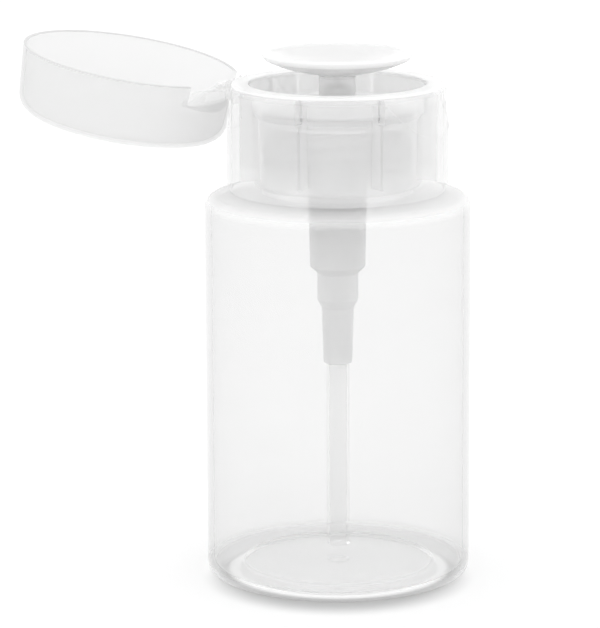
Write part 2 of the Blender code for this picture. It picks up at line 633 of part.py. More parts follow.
def make_stem():
    flange_top, flange_foot, stem_foot = piston_levels()[2:5]
    stem_top = SOCKET_TOP_Z - GAP
    cage_foot = stem_top - VALVE_CAGE_DEPTH
    socket_top = stem_foot + SEAT_SPIGOT_LENGTH
    corners = [
        (STEM_RADIUS, stem_foot),
        (STEM_RADIUS, flange_foot),
        (STEM_FLANGE_RADIUS, flange_foot),
        (STEM_FLANGE_RADIUS, flange_top),
        (STEM_RADIUS, flange_top),
        (STEM_RADIUS, stem_top),
        (VALVE_CAGE_RADIUS, stem_top),
        (VALVE_CAGE_RADIUS, cage_foot),
        (VALVE_SEAT_RADIUS, cage_foot - VALVE_SEAT_DEPTH),
        (VALVE_SEAT_RADIUS, cage_foot - VALVE_SEAT_DEPTH * 2),
        (STEM_BORE, cage_foot - VALVE_SEAT_DEPTH * 2.5),
        (STEM_BORE, socket_top),
        (SEAT_SPIGOT_RADIUS + GAP, socket_top),
        (SEAT_SPIGOT_RADIUS + GAP, stem_foot),
    ]
    material = plastic("piston_stem", (0.86, 0.87, 0.88), 0.35, transmission=0.2)
    stem = revolve("piston_stem", corners, ROUND_SMALL, material)
    set_origin(stem, (0, 0, flange_foot))
    return stem


def make_spring_seat():
    stem_foot, seat_top, seat_foot = piston_levels()[4:7]
    corners = [
        (SEAT_BORE, seat_foot),
        (HOUSING_BORE - 2 * GAP, seat_foot),
        (HOUSING_BORE - 2 * GAP, seat_top),
        (SEAT_SPIGOT_RADIUS, seat_top),
        (SEAT_SPIGOT_RADIUS, stem_foot + SEAT_SPIGOT_LENGTH - GAP),
        (SEAT_BORE, stem_foot + SEAT_SPIGOT_LENGTH - GAP),
    ]
    seat = revolve("spring_seat", corners, ROUND_SMALL, plastic("spring_seat", (0.85, 0.86, 0.87), 0.4))
    set_origin(seat, (0, 0, seat_foot))
    return seat


def make_piston_seal():
    flange_foot, seat_top = piston_levels()[3], piston_levels()[5]
    top, foot = flange_foot - GAP, seat_top + GAP
    lip = HOUSING_BORE - GAP
    waist = lip - 1.5 * GAP
    groove = (STEM_RADIUS + GAP + lip) / 2
    lip_height = (top - foot) * 0.16
    corners = [
        (STEM_RADIUS + GAP, foot),
        (groove, foot),
        (groove + GAP, foot + lip_height),
        (lip - GAP, foot),
        (lip, foot),
        (lip, foot + lip_height),
        (waist, foot + 2 * lip_height),
        (waist, top - 2 * lip_height),
        (lip, top - lip_height),
        (lip, top),
        (STEM_RADIUS + GAP, top),
    ]
    seal = revolve("piston_seal", corners, ROUND_MEDIUM, plastic("piston_seal", (0.80, 0.81, 0.82), 0.5))
    set_origin(seal, (0, 0, foot))
    return seal


def ball_height_on_cone(cone_radius, cone_foot, run, rise, reach):
    """The height at which a ball's centre stands off a cone's surface by reach."""
    length = math.hypot(run, rise)
    return cone_foot + (reach * length - rise * cone_radius) / run


def make_ball(name, radius, centre_z, colour, metallic, roughness):
    mesh_data = bmesh.new()
    bmesh.ops.create_uvsphere(mesh_data, u_segments=16, v_segments=8, radius=radius)
    ball = finish(name, mesh_data, plastic(name, colour, roughness, metallic))
    ball.location = (0, 0, centre_z)
    return ball


def make_balls():
    cage_foot = SOCKET_TOP_Z - GAP - VALVE_CAGE_DEPTH
    outlet_z = ball_height_on_cone(
        VALVE_SEAT_RADIUS,
        cage_foot - VALVE_SEAT_DEPTH,
        VALVE_CAGE_RADIUS - VALVE_SEAT_RADIUS,
        VALVE_SEAT_DEPTH,
        OUTLET_BALL_RADIUS + BALL_CLEARANCE,
    )
    make_ball("outlet_ball", OUTLET_BALL_RADIUS, outlet_z, (0.75, 0.75, 0.75), 1.0, 0.2)
    inlet_z = ball_height_on_cone(
        BALL_SEAT_RADIUS,
        BALL_SEAT_Z,
        BALL_CHAMBER_RADIUS - BALL_SEAT_RADIUS,
        BALL_SEAT_HEIGHT,
        INLET_BALL_RADIUS + BALL_CLEARANCE,
    )
    make_ball("inlet_ball", INLET_BALL_RADIUS, inlet_z, (0.75, 0.75, 0.75), 1.0, 0.2)


def make_insert():
    cup_floor_top, cup_foot = piston_levels()[:2]
    cup_inner = TUBE_RADIUS + GAP
    cup_outer = cup_inner + CUP_WALL
    ring_inner = HOUSING_TOP_RADIUS + GAP
    ring_outer = ring_inner + SNAP_RING_WALL
    corners = [
        (STEM_RADIUS + GAP, cup_foot),
        (cup_outer, cup_foot),
        (cup_outer, FLANGE_Z),
        (ring_inner, FLANGE_Z),
        (ring_inner, SNAP_RING_FOOT_Z),
        (ring_outer, SNAP_RING_FOOT_Z),
        (ring_outer, FLANGE_Z),
        (PLUG_RADIUS - PLUG_WALL, FLANGE_Z),
        (PLUG_RADIUS - PLUG_WALL, PLUG_FOOT_Z),
        (PLUG_RADIUS - EDGE_ROUND, PLUG_FOOT_Z),
        (PLUG_RADIUS, PLUG_FOOT_Z + EDGE_ROUND),
        (PLUG_RADIUS, FLANGE_Z),
        (INSERT_FLANGE_RADIUS, FLANGE_Z),
        (INSERT_FLANGE_RADIUS, FLANGE_TOP_Z),
        (cup_inner, FLANGE_TOP_Z),
        (cup_inner, cup_floor_top),
        (STEM_RADIUS + GAP, cup_floor_top),
    ]
    material = plastic("closure_insert", (0.88, 0.89, 0.90), 0.4, transmission=0.3)
    return revolve("closure_insert", corners, ROUND_MEDIUM, material)


def make_gasket():
    top = GASKET_Z + GASKET_THICKNESS
    ring = [(NECK_BORE, GASKET_Z), (NECK_RADIUS, GASKET_Z), (NECK_RADIUS, top), (NECK_BORE, top)]
    return revolve("neck_gasket", ring, ROUND_MEDIUM, plastic("neck_gasket", (0.90, 0.90, 0.90), 0.7))


def make_housing():
    cup_foot = piston_levels()[1]
    housing_top = FLANGE_Z - GAP
    mouth = TUBE_RADIUS + GAP + CUP_WALL + GAP
    tube_socket = DIP_TUBE_RADIUS + GAP
    tail_chamfer = TAIL_FOOT_RADIUS - tube_socket
    bead_radius = BALL_CHAMBER_RADIUS - BALL_BEAD_DEPTH
    corners = [
        (tube_socket, TAIL_FOOT_Z),
        (TAIL_FOOT_RADIUS - tail_chamfer / 2, TAIL_FOOT_Z),
        (TAIL_FOOT_RADIUS, TAIL_FOOT_Z + 2 * tail_chamfer),
        (TAIL_TOP_RADIUS, TAIL_TOP_Z),
        (STEP_RADIUS, STEP_FOOT_Z),
        (STEP_RADIUS, STEP_TOP_Z),
        (HOUSING_FOOT_RADIUS, HOUSING_FOOT_Z),
        (HOUSING_TOP_RADIUS, housing_top),
        (mouth, housing_top),
        (mouth, cup_foot),
        (HOUSING_BORE, cup_foot - GAP),
        (HOUSING_BORE, HOUSING_FLOOR_Z),
        (BALL_CHAMBER_RADIUS, HOUSING_FLOOR_Z),
        (BALL_CHAMBER_RADIUS, BALL_BEAD_Z + BALL_BEAD_DEPTH),
        (bead_radius, BALL_BEAD_Z + BALL_BEAD_DEPTH / 2),
        (bead_radius, BALL_BEAD_Z),
        (BALL_CHAMBER_RADIUS, BALL_BEAD_Z - BALL_BEAD_DEPTH / 2),
        (BALL_CHAMBER_RADIUS, BALL_SEAT_Z + BALL_SEAT_HEIGHT),
        (BALL_SEAT_RADIUS, BALL_SEAT_Z),
        (BALL_SEAT_RADIUS, DIP_TUBE_TOP_Z + GAP),
        (tube_socket, DIP_TUBE_TOP_Z + GAP),
    ]
    material = plastic("pump_housing", (0.92, 0.93, 0.94), 0.35, transmission=0.5)
    return revolve("pump_housing", corners, ROUND_MEDIUM, material)


def make_dip_tube():
    bore = DIP_TUBE_RADIUS - DIP_TUBE_WALL
    wall = [
        (bore, DIP_TUBE_FOOT_Z),
        (DIP_TUBE_RADIUS, DIP_TUBE_FOOT_Z),
        (DIP_TUBE_RADIUS, DIP_TUBE_TOP_Z),
        (bore, DIP_TUBE_TOP_Z),
    ]
    material = plastic("dip_tube", (0.90, 0.91, 0.92), 0.3, transmission=0.6)
    return revolve("dip_tube", wall, ROUND_SMALL, material)


def spring_route():
    """Points of the spring's wire: flat end turns, evenly rising turns between them."""
    foot = HOUSING_FLOOR_Z + GAP + SPRING_WIRE_RADIUS
    top = piston_levels()[6] - GAP - SPRING_WIRE_RADIUS
    count = SPRING_TURNS * SPRING_POINTS_PER_TURN
    end_turn_rise = 2 * SPRING_WIRE_RADIUS + 2 * SPRING_LEAST_GAP
    points = []
    for step in range(count + 1):
        turn = step / SPRING_POINTS_PER_TURN
        working = (turn - SPRING_END_TURNS) / (SPRING_TURNS - 2 * SPRING_END_TURNS)
        lower_rise = end_turn_rise * SPRING_END_TURNS * min(turn / SPRING_END_TURNS, 1)
        upper_rise = end_turn_rise * SPRING_END_TURNS * min((SPRING_TURNS - turn) / SPRING_END_TURNS, 1)
        middle_foot = foot + end_turn_rise * SPRING_END_TURNS
        middle_top = top - end_turn_rise * SPRING_END_TURNS
        if working < 0:
            height = foot + lower_rise
        elif working > 1:
            height = top - upper_rise
        else:
            height = middle_foot + (middle_top - middle_foot) * working
        angle = 2 * math.pi * turn
        points.append(Vector((
            SPRING_MEAN_RADIUS * math.cos(angle), SPRING_MEAN_RADIUS * math.sin(angle), height
        )))
    return points


def least_gap(points):
    """The smallest clear distance between turns of the wire."""
    least = math.inf
    apart = SPRING_POINTS_PER_TURN // 2
    for index, point in enumerate(points):
        for other in points[index + apart:]:
            least = min(least, (point - other).length - 2 * SPRING_WIRE_RADIUS)
    return least


def make_spring():
    points = spring_route()
    print("return_spring least gap to itself, mm:", round(least_gap(points) / MM, 3))
    curve = bpy.data.curves.new("return_spring", "CURVE")
    curve.dimensions = "3D"
    curve.bevel_depth = SPRING_WIRE_RADIUS
    curve.bevel_resolution = 1
    curve.use_fill_caps = True
    wire = curve.splines.new("POLY")
    wire.points.add(len(points) - 1)
    for target, point in zip(wire.points, points):
        target.co = (*point, 1.0)
    wire.use_smooth = True
    spring = bpy.data.objects.new("return_spring", curve)
    bpy.context.scene.collection.objects.link(spring)
    curve.materials.append(plastic("return_spring", (0.62, 0.63, 0.64), 0.3, 1.0))
    return spring


clear_scene()
make_bottle()
make_collar()
make_lid()
make_hinge_strap()
make_dish()
make_stem()
make_spring_seat()
make_piston_seal()
make_balls()
make_insert()
make_gasket()
make_housing()
make_dip_tube()
make_spring()
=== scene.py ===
import math

import bmesh
import bpy
from mathutils import Matrix, Vector


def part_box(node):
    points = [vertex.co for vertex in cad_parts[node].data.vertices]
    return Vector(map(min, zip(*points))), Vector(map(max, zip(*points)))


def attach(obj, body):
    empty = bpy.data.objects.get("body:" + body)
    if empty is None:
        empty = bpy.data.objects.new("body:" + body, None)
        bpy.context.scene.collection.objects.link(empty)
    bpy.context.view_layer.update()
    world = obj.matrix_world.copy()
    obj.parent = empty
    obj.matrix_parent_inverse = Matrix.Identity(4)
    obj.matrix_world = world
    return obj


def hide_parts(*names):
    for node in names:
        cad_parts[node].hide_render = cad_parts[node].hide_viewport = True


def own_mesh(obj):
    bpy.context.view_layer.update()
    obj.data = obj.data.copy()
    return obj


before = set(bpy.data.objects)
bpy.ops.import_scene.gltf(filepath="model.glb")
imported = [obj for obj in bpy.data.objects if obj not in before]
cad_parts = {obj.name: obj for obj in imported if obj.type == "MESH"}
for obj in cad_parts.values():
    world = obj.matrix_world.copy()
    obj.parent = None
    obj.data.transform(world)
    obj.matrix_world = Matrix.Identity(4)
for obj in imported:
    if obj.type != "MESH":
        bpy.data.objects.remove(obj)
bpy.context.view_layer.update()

# Clear bottle. A blown and polished PET cylinder with a flat shoulder, a thick heel, a pushed-up
# base and a threaded neck. It stands on the flat ring round the push-up.
MM = 0.001


def rounded_wire(corners, closed=True):
    """Draws a (radius, height) outline in a bmesh. A corner's third value is its rounding.

    A long line gets a vertex close to each end, so the smooth shading of a corner stays there.
    """
    small_rounding, small_steps, large_steps = 1, 6, 8
    long_line, guard = 1.2 * MM, 0.2 * MM
    shape = bmesh.new()
    verts = [shape.verts.new((corner[0] * MM, 0, corner[1] * MM)) for corner in corners]
    pairs = list(zip(verts, verts[1:]))
    if closed:
        pairs.append((verts[-1], verts[0]))
    for pair in pairs:
        shape.edges.new(pair)
    for vert, corner in zip(verts, corners):
        if len(corner) < 3:
            continue
        first, second = [(edge.other_vert(vert).co - vert.co) for edge in vert.link_edges]
        offset = corner[2] * MM / math.tan(first.angle(second) / 2)
        steps = small_steps if corner[2] < small_rounding else large_steps
        bmesh.ops.bevel(
            shape, geom=[vert], offset=offset, offset_type="OFFSET", segments=steps,
            profile=0.5, affect="VERTICES", material=-1,
        )
    for edge in [edge for edge in shape.edges if edge.calc_length() > long_line]:
        start, end = edge.verts
        near = bmesh.utils.edge_split(edge, start, guard / edge.calc_length())[1]
        rest = [part for part in near.link_edges if end in part.verts][0]
        bmesh.utils.edge_split(rest, end, guard / rest.calc_length())
    return shape


def shown(shape, name, sharp=35):
    """Turns a bmesh into an object of the scene, smooth apart from its sharp edges."""
    bmesh.ops.recalc_face_normals(shape, faces=shape.faces)
    mesh = bpy.data.meshes.new(name)
    shape.to_mesh(mesh)
    shape.free()
    mesh.shade_smooth()
    mesh.set_sharp_from_angle(angle=math.radians(sharp))
    piece = bpy.data.objects.new(name, mesh)
    bpy.context.scene.collection.objects.link(piece)
    return piece


WELD = 0.0005 * MM


def turned(name, corners, sides, closed=True, sharp=35):
    """Spins an outline round the bottle's axis. An open outline starts and ends on the axis."""
    shape = rounded_wire(corners, closed)
    bmesh.ops.spin(
        shape, geom=shape.verts[:] + shape.edges[:], cent=(0, 0, 0), axis=(0, 0, 1),
        angle=2 * math.pi, steps=sides, use_merge=True, use_duplicate=False,
    )
    bmesh.ops.remove_doubles(shape, verts=shape.verts, dist=WELD)
    return shown(shape, name, sharp)


THREAD_PITCH = 3.175


def rise_with_turn(piece, radius, low, high, foot, crest, width, inwards=False):
    """Raises a screw thread on a turned wall by moving its rings' vertices in or out."""
    on_wall, flank = 0.05, 0.45
    for vert in piece.data.vertices:
        across = math.hypot(vert.co.x, vert.co.y)
        if abs(across - radius * MM) > on_wall * MM or not low * MM < vert.co.z < high * MM:
            continue
        level = vert.co.z / MM
        turn = math.atan2(vert.co.y, vert.co.x) / (2 * math.pi) % 1
        offset = (level - foot - THREAD_PITCH * turn) % THREAD_PITCH
        offset = min(offset, THREAD_PITCH - offset)
        fade = min(1, (level - low) / THREAD_PITCH, (high - level) / THREAD_PITCH)
        height = crest * max(0, min(1, (width - offset) / (flank * width))) * fade
        scale = 1 + (-height if inwards else height) * MM / across
        vert.co.x *= scale
        vert.co.y *= scale


def ranged(tree, source, near, far, near_value, far_value, ease="LINEAR"):
    """Turns a value that runs from near to far into one from near_value to far_value."""
    span = tree.nodes.new("ShaderNodeMapRange")
    span.interpolation_type = ease
    span.inputs["From Min"].default_value = near
    span.inputs["From Max"].default_value = far
    span.inputs["To Min"].default_value = near_value
    span.inputs["To Max"].default_value = far_value
    tree.links.new(source, span.inputs["Value"])
    return span.outputs["Result"]


def grey(tone):
    """An even grey as a colour."""
    return (tone, tone, tone)


def moulded(
    name, colour, rough, see_through, bend=1.003, dulling=0, grain=0.002, gloss=0.0,
):
    """A plastic with a fine moulded grain, a slow waviness, and light lost along its thickness.

    bend is the refractive index. It stays close to 1 for the clear plastics, because light
    crosses their thin walls nearly straight. dulling is the light lost per metre, grain is in mm.
    """
    softest_gloss, dark_share, light_share = 0.06, 0.99, 1.005
    smooth_share, coarse_share, wave_share = 0.8, 1.25, 6
    material = bpy.data.materials.new(name)
    material.use_nodes = True
    tree = material.node_tree
    nodes, links = tree.nodes, tree.links
    shader = nodes["Principled BSDF"]
    shader.inputs["IOR"].default_value = bend
    shader.inputs["Transmission Weight"].default_value = see_through
    shader.inputs["Coat Weight"].default_value = gloss
    shader.inputs["Coat Roughness"].default_value = min(softest_gloss, rough / 2)
    place = nodes.new("ShaderNodeTexCoord")
    flow = nodes.new("ShaderNodeTexNoise")
    flow.inputs["Scale"].default_value = 90
    flow.inputs["Detail"].default_value = 3
    links.new(place.outputs["Object"], flow.inputs["Vector"])
    uneven = ranged(tree, flow.outputs["Fac"], 0, 1, rough * smooth_share, rough * coarse_share)
    links.new(uneven, shader.inputs["Roughness"])
    shade = nodes.new("ShaderNodeMix")
    shade.data_type = "RGBA"
    shade.inputs["A"].default_value = (*[value * dark_share for value in colour], 1)
    shade.inputs["B"].default_value = (*[value * light_share for value in colour], 1)
    links.new(flow.outputs["Fac"], shade.inputs["Factor"])
    links.new(shade.outputs["Result"], shader.inputs["Base Color"])
    fine = nodes.new("ShaderNodeTexNoise")
    fine.inputs["Scale"].default_value = 1400
    fine.inputs["Detail"].default_value = 4
    links.new(place.outputs["Object"], fine.inputs["Vector"])
    relief = nodes.new("ShaderNodeBump")
    relief.inputs["Strength"].default_value = 0.25
    relief.inputs["Distance"].default_value = grain * MM
    links.new(fine.outputs["Fac"], relief.inputs["Height"])
    wave = nodes.new("ShaderNodeBump")
    wave.inputs["Strength"].default_value = 0.3
    wave.inputs["Distance"].default_value = grain * wave_share * MM
    links.new(flow.outputs["Fac"], wave.inputs["Height"])
    links.new(wave.outputs["Normal"], relief.inputs["Normal"])
    links.new(relief.outputs["Normal"], shader.inputs["Normal"])
    if dulling:
        loss = nodes.new("ShaderNodeVolumeAbsorption")
        loss.inputs["Color"].default_value = (0, 0, 0, 1)
        loss.inputs["Density"].default_value = dulling
        links.new(loss.outputs["Volume"], nodes["Material Output"].inputs["Volume"])
    return material


def clouded(material, levels):
    """Changes a plastic's clearness with height, from (height, clearness) pairs."""
    tree = material.node_tree
    top = levels[-1][0]
    place = tree.nodes.new("ShaderNodeTexCoord")
    split = tree.nodes.new("ShaderNodeSeparateXYZ")
    tree.links.new(place.outputs["Object"], split.inputs["Vector"])
    share = ranged(tree, split.outputs["Z"], 0, top * MM, 0, 1)
    ramp = tree.nodes.new("ShaderNodeValToRGB")
    ramp.color_ramp.interpolation = "EASE"
    while len(ramp.color_ramp.elements) < len(levels):
        ramp.color_ramp.elements.new(0.5)
    for stop, (height, clear) in zip(ramp.color_ramp.elements, levels):
        stop.position = height / top
        stop.color = (*grey(clear), 1)
    tree.links.new(share, ramp.inputs["Fac"])
    clearness = tree.nodes["Principled BSDF"].inputs["Transmission Weight"]
    tree.links.new(ramp.outputs["Color"], clearness)


BOTTLE_RADIUS, BOTTLE_INSIDE, NECK_RADIUS, RING_STEP, WALL_SIDES = 30.0, 28.5, 16.0, 0.2, 216
neck_rings = [(NECK_RADIUS, 91.0 + RING_STEP * step) for step in range(56)]
bottle_outline = [
    (0, 1.6),
    (2.2, 1.6, 0.3),
    (2.6, 2.1, 0.3),
    (21.0, 1.7, 1.5),
    (22.6, 0, 0.5),
    (BOTTLE_RADIUS, 0, 2.2),
    (BOTTLE_RADIUS, 87.5, 2.8),
    (16.9, 88.15, 0.5),
    (16.7, 90.1, 0.5),
    *neck_rings,
    (NECK_RADIUS, 103.4, 0.35),
    (14.4, 103.4, 0.35),
    (14.4, 99.5, 1.5),
    (13.8, 88.1, 3.0),
    (13.8, 86.6, 0.7),
    (BOTTLE_INSIDE, 86.0, 1.5),
    (BOTTLE_INSIDE, 1.9, 1.3),
    (22.2, 1.75, 0.9),
    (20.2, 3.2, 1.2),
    (0, 3.9),
]
bottle = turned("clear_bottle", bottle_outline, WALL_SIDES, closed=False, sharp=50)
rise_with_turn(bottle, NECK_RADIUS, low=91.4, high=101.8, foot=92.6, crest=0.7, width=0.95)
pet = moulded(
    "clear_pet", grey(0.945), rough=0.03, see_through=1.0, dulling=9, grain=0.001, gloss=0.05,
)
base_clear, side_clear, neck_clear = 0.5, 0.96, 0.7
clouded(
    pet,
    [(0, base_clear), (4.5, side_clear), (84, side_clear), (87, neck_clear), (104, neck_clear)],
)
bottle.data.materials.append(pet)
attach(bottle, "bottle")
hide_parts("bottle")

# Closure collar. One translucent polypropylene moulding: a smooth outer wall with two scoops, a
# flat top ring, the well that the dish sinks into, and a threaded inner skirt. Eight webs above and
# eight below tie the walls, two short ones stand at the hinge, and two ears hold the lid's pin.
SKIRT_BORE = 17.05
skirt_rings = [(SKIRT_BORE, 103.2 - RING_STEP * step) for step in range(62)]
collar_outline = [
    (23.8, 88.6, 0.2),
    (24.2, 88.6, 0.3),
    (24.94, 90.5, 1.5),
    (24.94, 111.5, 0.35),
    (23.77, 111.5, 0.2),
    (23.77, 112.93, 0.3),
    (19.95, 112.93, 0.35),
    (19.95, 107.6, 0.6),
    (5.6, 107.6, 0.3),
    (5.6, 108.1, 0.2),
    (4.4, 108.1, 0.2),
    (4.4, 106.1),
    (SKIRT_BORE, 106.1, 0.2),
    *skirt_rings,
    (SKIRT_BORE, 89.9, 0.1),
    (17.4, 89.6, 0.1),
    (19.0, 89.6, 1.5),
    (19.4, 105.8, 0.5),
    (20.95, 107.3, 0.5),
    (20.95, 112.03, 0.4),
    (22.66, 112.03, 0.4),
    (23.8, 110.89, 0.4),
]
collar = turned("closure_collar", collar_outline, WALL_SIDES)
rise_with_turn(
    collar, SKIRT_BORE, low=91.4, high=101.6, foot=91.0, crest=0.8, width=0.9, inwards=True,
)


def thickened(shape, face, shift):
    """Makes a face into a block by pulling a copy of it along shift. Gives the copy's corners."""
    grown = bmesh.ops.extrude_face_region(shape, geom=[face], use_keep_orig=True)["geom"]
    moved = [part for part in grown if isinstance(part, bmesh.types.BMVert)]
    bmesh.ops.translate(shape, verts=moved, vec=shift)
    return moved


def upright(name, points, thickness, angles):
    """Upright webs: a (radius, height) face, thickened and set round the axis at each angle."""
    shape = bmesh.new()
    for angle in angles:
        verts = [shape.verts.new((r * MM, -thickness / 2 * MM, z * MM)) for r, z in points]
        moved = thickened(shape, shape.faces.new(verts), (0, thickness * MM, 0))
        turn = Matrix.Rotation(math.radians(angle), 3, "Z")
        bmesh.ops.rotate(shape, verts=verts + moved, cent=(0, 0, 0), matrix=turn)
    return shown(shape, name)


def joined(piece, tool, how):
    """Adds, cuts or keeps what tool covers, and uses the tool up."""
    sharp_after = 20
    change = piece.modifiers.new(how.lower(), "BOOLEAN")
    change.operation, change.solver, change.object = how, "EXACT", tool
    graph = bpy.context.evaluated_depsgraph_get()
    made = bpy.data.meshes.new_from_object(piece.evaluated_get(graph))
    piece.modifiers.clear()
    piece.data = made
    bpy.data.objects.remove(tool, do_unlink=True)
    made.shade_smooth()
    made.set_sharp_from_angle(angle=math.radians(sharp_after))


WEB_IN, WEB_OUT = 20.45, 24.1
web_head = [(WEB_OUT, 110.8), (22.8, 112.2), (WEB_IN, 112.2)]
upper_web = [(WEB_IN, 106.4), (WEB_OUT, 106.4), *web_head]
lower_web = [(18.7, 92.0), (24.0, 92.0), (24.0, 106.8), (18.7, 106.8)]
hinge_web = [(WEB_IN, 108.6), (WEB_OUT, 108.6), *web_head]
for name, points, thickness, angles in (
    ("upper_webs", upper_web, 1.75, range(0, 360, 45)),
    ("lower_webs", lower_web, 0.7, range(0, 360, 45)),
    ("hinge_webs", hinge_web, 1.2, (154, 206)),
):
    joined(collar, upright(name, points, thickness, angles), "UNION")


def rod(shape, radius, start, end, sides):
    """Adds a closed round bar between two points to a bmesh."""
    start, end = Vector(start), Vector(end)
    axis = end - start
    turn = axis.to_track_quat("Z", "Y").to_matrix().to_4x4()
    bmesh.ops.create_cone(
        shape, cap_ends=True, segments=sides, radius1=radius * MM, radius2=radius * MM,
        depth=axis.length, matrix=Matrix.Translation((start + end) / 2) @ turn,
    )


SCOOP_RADIUS, SCOOP_Z, SCOOP_OUT, SCOOP_IN = 20.0, 121.5 * MM, 27 * MM, 24.44
for side in (-1, 1):
    disc = bmesh.new()
    rod(disc, SCOOP_RADIUS, (0, 0, SCOOP_Z), (side * SCOOP_OUT, 0, SCOOP_Z), 160)
    scoop = shown(disc, "scoop")
    core = bmesh.new()
    rod(core, SCOOP_IN, (0, 0, 88 * MM), (0, 0, 145 * MM), WALL_SIDES)
    joined(scoop, shown(core, "scoop_core"), "DIFFERENCE")
    joined(collar, scoop, "DIFFERENCE")

HINGE = Vector((-25.46, 0, 111.57)) * MM
EAR_RADIUS, EAR_NEAR, EAR_THICKNESS, HOLE_RADIUS = 1.1, 5.65, 1.5, 0.65
ear_outline = [(-23.3, 108.9), (-23.3, 111.2)] + [
    (HINGE.x / MM + EAR_RADIUS * math.cos(a), HINGE.z / MM + EAR_RADIUS * math.sin(a))
    for a in [math.radians(60 + 15 * step) for step in range(17)]
]
ears, holes = bmesh.new(), bmesh.new()
for side in (-1, 1):
    verts = [ears.verts.new((x * MM, side * EAR_NEAR * MM, z * MM)) for x, z in ear_outline]
    thickened(ears, ears.faces.new(verts), (0, side * EAR_THICKNESS * MM, 0))
    hole_ends = [HINGE + Vector((0, side * y * MM, 0)) for y in (4.6, 8.0)]
    rod(holes, HOLE_RADIUS, *hole_ends, 32)
joined(collar, shown(ears, "ears"), "UNION")
joined(collar, shown(holes, "ear_holes"), "DIFFERENCE")


def chosen(tree, which, first, second):
    """The smaller (MINIMUM) or the larger (MAXIMUM) of two values."""
    pick = tree.nodes.new("ShaderNodeMath")
    pick.operation = which
    tree.links.new(first, pick.inputs[0])
    tree.links.new(second, pick.inputs[1])
    return pick.outputs["Value"]


inner_clear, wall_clear, ring_clear = 0.7, 0.85, 0.4
wall_starts, wall_full, ring_starts, ring_full = 23.5 * MM, 23.75 * MM, 112.0 * MM, 112.5 * MM
closure_plastic = moulded(
    "collar_polypropylene", grey(0.99), rough=0.04, see_through=0.87, dulling=7, gloss=0.05,
)
tree = closure_plastic.node_tree
place = tree.nodes.new("ShaderNodeTexCoord")
flat = tree.nodes.new("ShaderNodeVectorMath")
flat.operation = "MULTIPLY"
flat.inputs[1].default_value = (1, 1, 0)
tree.links.new(place.outputs["Object"], flat.inputs[0])
reach = tree.nodes.new("ShaderNodeVectorMath")
reach.operation = "LENGTH"
tree.links.new(flat.outputs["Vector"], reach.inputs[0])
split = tree.nodes.new("ShaderNodeSeparateXYZ")
tree.links.new(place.outputs["Object"], split.inputs["Vector"])
clearness = chosen(
    tree, "MINIMUM",
    ranged(tree, reach.outputs["Value"], wall_starts, wall_full, inner_clear, wall_clear),
    ranged(tree, split.outputs["Z"], ring_starts, ring_full, wall_clear, ring_clear),
)
tree.links.new(clearness, tree.nodes["Principled BSDF"].inputs["Transmission Weight"])
collar.data.materials.clear()
collar.data.materials.append(closure_plastic)
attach(collar, "collar")
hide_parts("collar")

# Flip lid. A thin, clear polypropylene cup with a softly rounded top edge and a slight taper. It is
# notched at the hinge, and hangs open upside down. It is drawn closed, then swung open. The cut
# edge of its rim carries a painted shade: a grey line painted on the same clear plastic.
LID_RIM, LID_INSIDE = 111.8, 24.07
LID_TOP, LID_CEILING = LID_RIM + 15.4, LID_RIM + 14.4
LID_OPEN = math.radians(-169.3)
SWING = (
    Matrix.Translation(HINGE) @ Matrix.Rotation(LID_OPEN, 4, "Y") @ Matrix.Translation(-HINGE)
)
lid_outline = [
    (0, LID_TOP),
    (23.94, LID_TOP, 4.07),
    (24.93, LID_RIM, 0.25),
    (LID_INSIDE, LID_RIM, 0.25),
    (23.01, LID_CEILING, 3.07),
    (0, LID_CEILING),
]
lid = turned("lid_shell", lid_outline, WALL_SIDES, closed=False)


def side_block(name, points):
    """A block from the axis out through the lid's wall at the hinge, with a (y, z) outline."""
    past_the_wall = -27 * MM
    shape = rounded_wire(points)
    quarter_turn = Matrix.Rotation(math.pi / 2, 3, "Z")
    bmesh.ops.rotate(shape, verts=shape.verts, cent=(0, 0, 0), matrix=quarter_turn)
    face = bmesh.ops.contextual_create(shape, geom=shape.edges[:])["faces"][0]
    thickened(shape, face, (past_the_wall, 0, 0))
    return shown(shape, name)


def second_below(piece, level):
    """Gives the faces below a height the piece's second material."""
    for face in piece.data.polygons:
        if face.center.z < level * MM:
            face.material_index = 1


NOTCH_HALF, NOTCH_FOOT, NOTCH_TOP, NOTCH_ROUND = 13.4, LID_RIM - 2, LID_RIM + 4.6, 1.0
notch = [
    (-NOTCH_HALF, NOTCH_FOOT),
    (NOTCH_HALF, NOTCH_FOOT),
    (NOTCH_HALF, NOTCH_TOP, NOTCH_ROUND),
    (-NOTCH_HALF, NOTCH_TOP, NOTCH_ROUND),
]
joined(lid, side_block("notch", notch), "DIFFERENCE")
lid_plastic = moulded(
    "lid_polypropylene", grey(0.905), rough=0.03, see_through=0.88, dulling=16, grain=0.001,
    gloss=0.1,
)
# Painted shade: the rim's lowest band is the same clear plastic, drawn as an opaque grey line.
rim_painted_shade = moulded(
    "lid_rim_painted_shade", grey(0.64), rough=0.2, see_through=0.0, bend=1.05, grain=0.001,
)
lid.data.materials.clear()
lid.data.materials.append(lid_plastic)
lid.data.materials.append(rim_painted_shade)
# Height of the painted grey shade band at the rim.
RIM_SHADE_HEIGHT = 0.3
second_below(lid, LID_RIM + RIM_SHADE_HEIGHT)
lid.data.transform(SWING)
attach(lid, "lid")
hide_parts("flip_lid")

# Hinge strap. A small polypropylene plate that fills the lid's notch, with a rounded pad behind the
# lid's wall and a knuckle at its narrow end, whose pin turns in the collar's two ears.
strap_edge = [(5.24, 0.0), (6.1, 0.36), (8.0, 0.95), (10.6, 2.15), (12.2, 3.44), (12.6, 4.3)]
pad_edge = [(9.5, 1.6), *strap_edge[3:]]
PAD_HALF, PAD_SIDE, PAD_CROWN, PAD_STEPS = 12.6, 4.95, 2.05, 24
pad_arc = [
    (PAD_HALF * math.cos(a), PAD_SIDE + PAD_CROWN * math.sin(a) ** 2)
    for a in [math.pi * step / PAD_STEPS for step in range(1, PAD_STEPS)]
]


